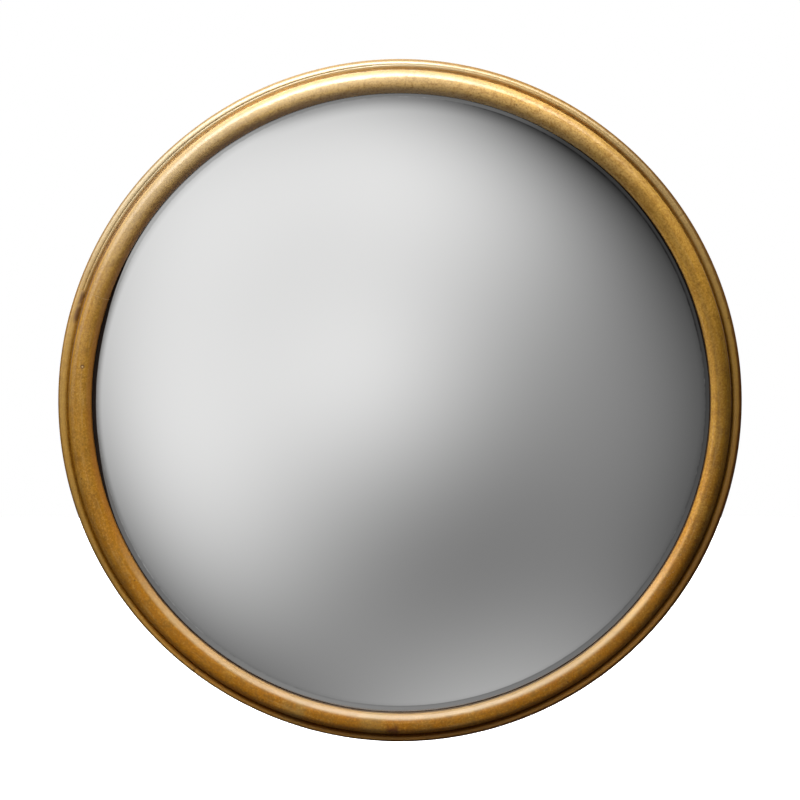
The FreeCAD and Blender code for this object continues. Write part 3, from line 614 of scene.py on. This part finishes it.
# ------------------------------------------------------------ ring of sections
def ring_mesh(name, angles, section, closed=True):
    """A ring swept through the given angles in degrees.  section(angle) gives
    a list of (radius, depth) in millimetres, always of the same length."""
    verts, faces = [], []
    rows = [section(a) for a in angles]
    count = len(rows[0])
    for a, row in zip(angles, rows):
        c, s = math.cos(math.radians(a)), math.sin(math.radians(a))
        for r, d in row:
            verts.append((r * c * MM, -d * MM, r * s * MM))
    turns = len(angles)
    last = count if closed else count - 1
    for i in range(turns):
        j = (i + 1) % turns
        for k in range(last):
            q = (k + 1) % count
            faces.append((i * count + k, i * count + q,
                          j * count + q, j * count + k))
    me = bpy.data.meshes.new(name)
    me.from_pydata(verts, [], faces)
    bm = bmesh.new()
    bm.from_mesh(me)
    bmesh.ops.recalc_face_normals(bm, faces=bm.faces)
    bm.to_mesh(me)
    bm.free()
    me.validate()
    ob = bpy.data.objects.new(name, me)
    scene.collection.objects.link(ob)
    return ob


def smooth_by_angle(ob, degrees=40.0):
    for p in ob.data.polygons:
        p.use_smooth = True
    limit = math.cos(math.radians(degrees))
    bm = bmesh.new()
    bm.from_mesh(ob.data)
    for e in bm.edges:
        if len(e.link_faces) == 2:
            e.smooth = e.link_faces[0].normal.dot(
                e.link_faces[1].normal) > limit
    bm.to_mesh(ob.data)
    bm.free()


# --------------------------------------------------------------- the moulding
BEAD_R, BEAD_D, BEAD_S = 187.45, 18.65, 6.35
SEAM = 160.0
rng = random.Random(41)
WAVES = [(rng.uniform(0, 360), k, rng.uniform(-1, 1) / k ** 0.6)
         for k in (3, 4, 5, 7, 9, 12, 16, 21, 27)]
DENTS = [(rng.uniform(0, 360), rng.uniform(-70, 70), rng.uniform(1.2, 3.4),
          rng.uniform(0.04, 0.12)) for _ in range(46)]


def wave(angle, shift=0.0):
    return sum(amp * math.sin(math.radians(k * angle + ph + shift * k))
               for ph, k, amp in WAVES) / 3.0


def lift(angle, turn, base):
    """How far a point of the bead stands off its half round, in millimetres.
    turn is the place round the bead's section: 0 at its crest, positive
    towards the glass."""
    out = 0.0
    for a0, t0, size, deep in DENTS:
        da = wrap(angle - a0) * math.pi / 180 * base
        dt = (turn - t0) * math.pi / 180 * BEAD_S
        q = (da / (2.2 * size)) ** 2 + (dt / size) ** 2
        if q < 6:
            out -= deep * math.exp(-q)
    # the small pit with a raised burr, left of centre
    da = wrap(angle - 172.93) * math.pi / 180 * base
    dt = (turn - 4.0) * math.pi / 180 * BEAD_S
    q = da * da + dt * dt
    if q < 9:
        out -= 0.34 * math.exp(-q / 0.45)
        out += 0.16 * math.exp(-((da + 0.1) ** 2 + (dt - 0.55) ** 2) / 0.10)
    return out


def fine_line(angle):
    """Strength of the fine line pressed into the lip: clear from 98 degrees
    to the seam, where it stops short, faint on the right and gone after it."""
    a = angle % 360
    if a <= SEAM:
        return 0.12 + 0.16 * smooth(10, 60, a) + 0.72 * smooth(86, 106, a)
    return 0.12 * smooth(200, 260, a)


def inner_shift(angle):
    """Inside, the ring is taller than wide and leans to the right."""
    return off_round(INNER, angle) + 0.16 * wave(angle, 40)


def middle_shift(angle):
    """The groove and the lip wander a little between the two edges."""
    return off_round(MIDDLE, angle) + 0.12 * wave(angle, 40)


def outer_shift(angle):
    """Outside it is half a millimetre narrower than it is tall."""
    return off_round(OUTER, angle)


def rubbed(angle):
    """Where the groove is worn shallow, at the top and the upper left."""
    a = angle % 360
    return smooth(45, 90, a) * (1 - smooth(150, 190, a))


def moulding_section(angle):
    shift = inner_shift(angle)
    middle = middle_shift(angle)
    away = outer_shift(angle)
    worn = 0.58 * rubbed(angle)
    lifted = smooth(0.8, 2.2, -shift)
    f = fine_line(angle)
    w = 0.30 * wave(angle)
    h = 0.24 * wave(angle, 90)
    notch = bump_at(angle, 232.6, 0.45)
    scar = bump_at(angle, 34.0, 0.30) + bump_at(angle, 73.2, 0.25)
    row = []

    def at(r, d):
        # blends from the inner edge over the groove to the outer edge
        if r < 182:
            off = shift
        elif r < 193.5:
            k = (r - 182) / 11.5
            off = shift + (middle - shift) * k
        elif r < 196.6:
            off = middle
        else:
            k = smooth(196.6, 199.9, r)
            off = middle + (away - middle) * k
        row.append((r + off, d))

    def hidden(r, d):
        # the inside of the sheet stays clear of the wooden ring
        row.append((r, d))

    # rear flange, rounded edge and side wall
    for r in (195.8, 197.0, 198.4, 199.3):
        row.append((r + away * smooth(195.8, 199.3, r), 0.0))
    for k in range(1, 6):
        t = math.radians(90 * k / 5)
        row.append((199.4 + away + 0.6 * math.sin(t),
                    0.6 - 0.6 * math.cos(t)))
    for d in (2.5, 5.0, 8.0, 11.0, 13.5):
        row.append((200.0 + away, d))
    # the lip: an uneven round that rises from the side wall to its crest
    # and falls to the groove, with a fine line pressed into its inner half
    def press(r):
        return f * 0.60 * math.exp(-((r - 197.0) / 0.30) ** 2)

    for k in range(0, 17):
        t = math.radians(90 * k / 16)
        y = math.sin(t) ** 0.92
        at(196.95 + 3.05 * math.cos(t), 15.0 + (3.92 + 0.05 * h) * y
           - press(196.95 + 3.05 * math.cos(t))
           - notch * 0.55 * y - scar * 0.16 * y)
    for r in (196.86, 196.76, 196.64, 196.50, 196.34, 196.14, 195.92, 195.68,
              195.44, 195.20, 194.98):
        u = (196.95 - r) / 2.10
        d = 17.05 + 1.87 * math.sqrt(max(0.0, 1 - u * u))
        at(r, d - press(r) - notch * 0.4 - scar * 0.1)
    # groove
    at(194.76, 17.16 + 0.6 * worn)
    at(194.52, 16.90 + worn)
    at(194.22, 16.84 + worn)
    at(193.98, 17.04 + worn)
    # bead, from its outer foot over the crest to the glass
    first, final = -98.0, 93.5 - 5.0 * lifted
    steps = 30
    for k in range(steps + 1):
        turn = first + (final - first) * k / steps
        t = math.radians(turn)
        s = BEAD_S + h * 0.5 * math.cos(t) + lift(angle, turn, BEAD_R)
        # a slightly flattened crest, as rolled sheet has
        s -= 0.14 * math.exp(-(turn / 26.0) ** 2)
        r = BEAD_R - s * math.sin(t) + 0.4 * w * math.cos(t)
        d = BEAD_D + s * math.cos(t)
        at(r, min(d, 24.99))
    # the edge turned under, then the hidden inside of the sheet
    at(181.32, 18.02 + 0.5 * lifted)
    at(181.70, 17.98 + 0.5 * lifted)
    at(182.0, 18.20 + 0.3 * lifted)
    for turn in (88, 60, 30, 0, -30, -60, -90):
        t = math.radians(turn)
        s = BEAD_S - 0.85
        at(BEAD_R - s * math.sin(t), BEAD_D + s * math.cos(t))
    hidden(193.3, 16.0)
    hidden(195.3, 15.95)
    hidden(196.3, 16.9)
    hidden(197.4, 17.5)
    hidden(198.4, 17.0)
    hidden(199.12, 14.0)
    hidden(199.12, 7.0)
    hidden(199.12, 0.8)
    hidden(197.4, 0.8)
    hidden(195.8, 0.8)
    return row


angles = {round(k * 0.375, 4) for k in range(960)}
for lo, hi, step in ((158.8, 161.2, 0.12), (172.0, 173.9, 0.10),
                     (232.0, 233.2, 0.10), (33.6, 34.4, 0.10),
                     (72.8, 73.6, 0.10)):
    k = lo
    while k <= hi:
        angles.add(round(k, 4))
        k += step
angles = sorted(angles)
# points that nearly coincide would make sliver faces
kept = [angles[0]]
for a in angles[1:]:
    if a - kept[-1] > 0.045:
        kept.append(a)
angles = kept

moulding = ring_mesh("brass_moulding_skin", angles, moulding_section)
moulding.data.materials.append(BRASS)
smooth_by_angle(moulding, 48.0)
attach(moulding, ROOT)
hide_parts("brass_moulding")


def seam_mesh():
    """The solder line at the seam, following the skin of the moulding."""
    lines = [(SEAM + a, h) for a, h in ((-0.10, -0.20), (-0.035, 0.045),
                                        (0.035, 0.045), (0.10, -0.20))]
    rows = [moulding_section(a)[9:77] for a, _ in lines]
    count = len(rows[0])
    verts, faces = [], []
    for k in range(count):
        for (angle, h), row in zip(lines, rows):
            (r0, d0), (r1, d1) = row[max(k - 1, 0)], row[min(k + 1,
                                                             count - 1)]
            size = math.hypot(r1 - r0, d1 - d0) or 1.0
            r = row[k][0] + h * (d1 - d0) / size
            d = row[k][1] - h * (r1 - r0) / size
            a = math.radians(angle)
            verts.append((r * math.cos(a) * MM, -d * MM,
                          r * math.sin(a) * MM))
    for k in range(count - 1):
        for i in range(4):
            j = (i + 1) % 4
            faces.append((k * 4 + i, k * 4 + j, k * 4 + 4 + j,
                          k * 4 + 4 + i))
    faces.append((0, 1, 2, 3))
    faces.append(tuple((count - 1) * 4 + i for i in (3, 2, 1, 0)))
    me = bpy.data.meshes.new("seam_line")
    me.from_pydata(verts, [], faces)
    bm = bmesh.new()
    bm.from_mesh(me)
    bmesh.ops.recalc_face_normals(bm, faces=bm.faces)
    bm.to_mesh(me)
    bm.free()
    me.validate()
    ob = bpy.data.objects.new("seam_line", me)
    scene.collection.objects.link(ob)
    return ob


seam = seam_mesh()
seam.data.materials.append(SOLDER)
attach(seam, ROOT)
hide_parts("seam_solder")


# ------------------------------------------------------------------ the glass
CURVE, APEX, THICK, RIM = 560.0, 47.56, 4.0, 186.0


def dome(r, thick=0.0):
    return APEX - CURVE + math.sqrt((CURVE - thick) ** 2 - r * r)


def glass_mesh():
    turns = 360
    front = [RIM * math.sin(math.radians(90 * k / 96)) ** 0.9
             for k in range(97)]
    verts, faces, mats = [(0, -dome(0) * MM, 0)], [], []
    rows = [(r, dome(r)) for r in front[1:-1]]
    rows += [(RIM - 0.5, dome(RIM - 0.5)), (RIM - 0.12, dome(RIM) - 0.08),
             (RIM, dome(RIM) - 0.5), (RIM, dome(RIM, THICK) + 0.5),
             (RIM - 0.5, dome(RIM - 0.5, THICK))]
    seen = len(front)
    back = [RIM * (1 - k / 24.0) for k in range(1, 24)]
    rows += [(r, dome(r, THICK)) for r in back]
    for r, d in rows:
        for k in range(turns):
            t = 2 * math.pi * k / turns
            verts.append((r * math.cos(t) * MM, -d * MM,
                          r * math.sin(t) * MM))
    verts.append((0, -dome(0, THICK) * MM, 0))
    end = len(verts) - 1
    for k in range(turns):
        faces.append((0, 1 + k, 1 + (k + 1) % turns))
        mats.append(0)
    for i in range(len(rows) - 1):
        a, b = 1 + i * turns, 1 + (i + 1) * turns
        for k in range(turns):
            q = (k + 1) % turns
            faces.append((a + k, b + k, b + q, a + q))
            mats.append(0 if i < seen else 1)
    a = 1 + (len(rows) - 1) * turns
    for k in range(turns):
        faces.append((a + k, end, a + (k + 1) % turns))
        mats.append(1)
    me = bpy.data.meshes.new("bent_mirror_glass")
    me.from_pydata(verts, [], faces)
    me.materials.append(MIRROR)
    me.materials.append(PAINT)
    for p, m in zip(me.polygons, mats):
        p.material_index = m
    bm = bmesh.new()
    bm.from_mesh(me)
    bmesh.ops.recalc_face_normals(bm, faces=bm.faces)
    bm.to_mesh(me)
    bm.free()
    ob = bpy.data.objects.new("bent_mirror_glass", me)
    scene.collection.objects.link(ob)
    smooth_by_angle(ob, 25.0)
    return ob


glass = glass_mesh()
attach(glass, ROOT)
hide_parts("mirror_glass")


# ----------------------------------------------------------------- the gasket
def gasket_section(angle):
    """A felt strip under the brass.  It shows as a thin dark line, wider on
    the left where the glass sits a little away from the brass.  How much
    shows round the ring is set to give a painted shadow line along the brass."""
    edge = 181.10 + inner_shift(angle)
    a = angle % 360
    shows = 0.38 + 0.05 * wave(angle, 10)
    shows -= 0.33 * smooth(52, 70, a) * (1 - smooth(138, 152, a))
    shows -= 0.20 * bump_at(a, 268, 22)
    shows += 2.05 * smooth(148, 168, a) * (1 - smooth(186, 206, a))
    shows += 0.50 * smooth(4, 14, a) * (1 - smooth(34, 48, a))
    shows += 0.05 * math.sin(math.radians(angle * 61)) * math.sin(
        math.radians(angle * 17))
    r0 = edge - max(0.05, shows)
    lo, hi = 0.06, 0.34
    return [(r0, dome(r0) + lo), (r0 + 0.06, dome(r0) + 0.72 * hi),
            (r0 + 0.35, dome(r0 + 0.35) + hi),
            (183.0, dome(183.0) + hi), (185.9, dome(185.9) + hi),
            (185.9, dome(185.9) + lo), (183.0, dome(183.0) + lo)]


gasket = ring_mesh("felt_gasket_strip", [k * 0.5 for k in range(720)],
                   gasket_section)
gasket.data.materials.append(FELT)
smooth_by_angle(gasket, 50.0)
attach(gasket, ROOT)
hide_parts("glass_gasket")


# ------------------------------------------------------------- floor and light
def stage_floor():
    me = bpy.data.meshes.new("floor")
    size, z = 6.0, -0.95
    me.from_pydata([(-size, -size, z), (size, -size, z), (size, size, z),
                    (-size, size, z)], [], [(0, 1, 2, 3)])
    ob = bpy.data.objects.new("floor", me)
    scene.collection.objects.link(ob)
    m, n, b = new_material("floor_paint")
    co = n.add("ShaderNodeTexCoord").outputs["Object"]
    n.link(n.mix(n.noise(co, 3.0, 2.0), rgb(0.86, 0.86, 0.86),
                 rgb(0.89, 0.89, 0.89)), b.inputs["Base Color"])
    b.inputs["Roughness"].default_value = 0.9
    b.inputs["Emission Color"].default_value = rgb(1, 1, 1)
    b.inputs["Emission Strength"].default_value = 1.0
    me.materials.append(m)
    ob.visible_glossy = False
    ob.visible_diffuse = False
    ob.visible_shadow = False
    return ob


stage_floor()


def direction(az, el):
    """A unit vector towards the front: az to the right, el up, in degrees."""
    a, e = math.radians(az), math.radians(el)
    return (math.sin(a) * math.cos(e), -math.cos(a) * math.cos(e),
            math.sin(e))


# soft light fields in front of the mirror: azimuth, elevation, width in
# degrees and strength, negative for the dark flags between them
FRONT = ((-33.3, 24.2, 24.9, 1.084), (7.9, 34.3, 26.2, 1.578),
         (-37.7, -16.9, 32.0, 1.737), (-3.7, -2.0, 16.8, 0.503),
         (28.3, 53.2, 22.4, -2.223), (31.4, -7.3, 39.7, 1.055),
         (24.5, -62.8, 29.7, 1.312), (-66.3, -24.2, 22.7, -1.852))


def studio_world():
    w = bpy.data.worlds.new("studio")
    w.use_nodes = True
    scene.world = w
    n = Nodes(w.node_tree)
    out = n.add("ShaderNodeOutputWorld")
    d = n.vmath("NORMALIZE", n.add("ShaderNodeTexCoord").outputs["Generated"])

    def lobe(az, el, width):
        dot = n.vmath("DOT_PRODUCT", d, direction(az, el), out=1)
        k = 1.0 / (1.0 - math.cos(math.radians(width)))
        return n.math("EXPONENT", n.math("MULTIPLY", n.math(
            "SUBTRACT", dot, 1.0), k))

    def grey(v):
        return rgb(v, v, v)

    front = -0.969
    for az, el, width, strength in FRONT:
        front = n.math("ADD", front, n.math("MULTIPLY", lobe(
            az, el, width), strength))
    front = n.math("MINIMUM", n.math("MAXIMUM", front, 0.03), 1.0)
    # beside and above: a large overhead box, a fill on the left, a warm floor
    side = 0.08
    for az, el, width, strength in (
            (0, 62, 22, 11.0), (-50, 54, 22, 8.0), (48, 50, 18, 8.0),
            (-60, 86, 28, 4.0), (-80, 26, 24, 2.0), (-66, 0, 22, 0.8),
            (-110, -10, 34, 0.2), (80, -8, 34, 0.05), (0, -62, 30, 0.25)):
        side = n.math("ADD", side, n.math("MULTIPLY", lobe(
            az, el, width), strength))
    side = n.combine(side, side, side)
    ground = n.add("ShaderNodeVectorMath", operation="SCALE")
    ground.inputs[0].default_value = (0.22, 0.14, 0.06)
    n.link(lobe(-30, -70, 34), ground.inputs["Scale"])
    side = n.vmath("ADD", side, ground.outputs[0])
    # the front field is used inside a cone about the mirror's own view
    dot = n.vmath("DOT_PRODUCT", d, direction(0, -6.6), out=1)
    inside = n.ramp(dot, math.cos(math.radians(60)),
                    math.cos(math.radians(45)))
    col = n.mix(inside, side, n.combine(front, front, front))
    bg = n.add("ShaderNodeBackground")
    n.link(col, bg.inputs[0])
    white = n.add("ShaderNodeBackground")
    white.inputs[0].default_value = grey(1.0)
    white.inputs[1].default_value = 1.0
    soft = n.add("ShaderNodeBackground")
    soft.inputs[0].default_value = grey(0.055)
    soft.inputs[1].default_value = 1.0
    path = n.add("ShaderNodeLightPath")
    first = n.add("ShaderNodeMixShader")
    n.link(path.outputs["Is Diffuse Ray"], first.inputs[0])
    n.link(bg.outputs[0], first.inputs[1])
    n.link(soft.outputs[0], first.inputs[2])
    mixer = n.add("ShaderNodeMixShader")
    n.link(path.outputs["Is Camera Ray"], mixer.inputs[0])
    n.link(first.outputs[0], mixer.inputs[1])
    n.link(white.outputs[0], mixer.inputs[2])
    n.link(mixer.outputs[0], out.inputs[0])


studio_world()


def area(name, at, look, size, watts, colour=(1, 1, 1)):
    li = bpy.data.lights.new(name, "AREA")
    li.shape = "RECTANGLE"
    li.size, li.size_y = size
    li.energy = watts
    li.color = colour
    ob = bpy.data.objects.new(name, li)
    scene.collection.objects.link(ob)
    ob.location = at
    ob.rotation_euler = (Vector(look) - Vector(at)).to_track_quat(
        "-Z", "Y").to_euler()
    return ob


for lamp in (
        area("key_box", (-0.40, -0.50, 0.62), (0, 0, 0), (0.7, 0.5), 2.1),
        area("back_box", (0.2, 1.7, 0.35), (0, 0, 0), (1.2, 0.8), 20.0)):
    lamp.visible_glossy = False

# --------------------------------------------------------------------- camera
cam_data = bpy.data.cameras.new("camera")
cam = bpy.data.objects.new("camera", cam_data)
scene.collection.objects.link(cam)
ELEV, DIST = 6.6, 2.2
target = Vector((0.0, -0.0095, 0.0))
e = math.radians(ELEV)
cam.location = target + Vector((0, -math.cos(e) * DIST, math.sin(e) * DIST))
cam.rotation_euler = (target - cam.location).to_track_quat("-Z", "Y").to_euler()
cam_data.sensor_width = 36.0
cam_data.lens = 169.42
cam_data.shift_y = 0.0037
cam_data.clip_start, cam_data.clip_end = 0.05, 60.0
scene.camera = cam
scene.view_settings.view_transform = "Standard"
scene.view_settings.look = "None"
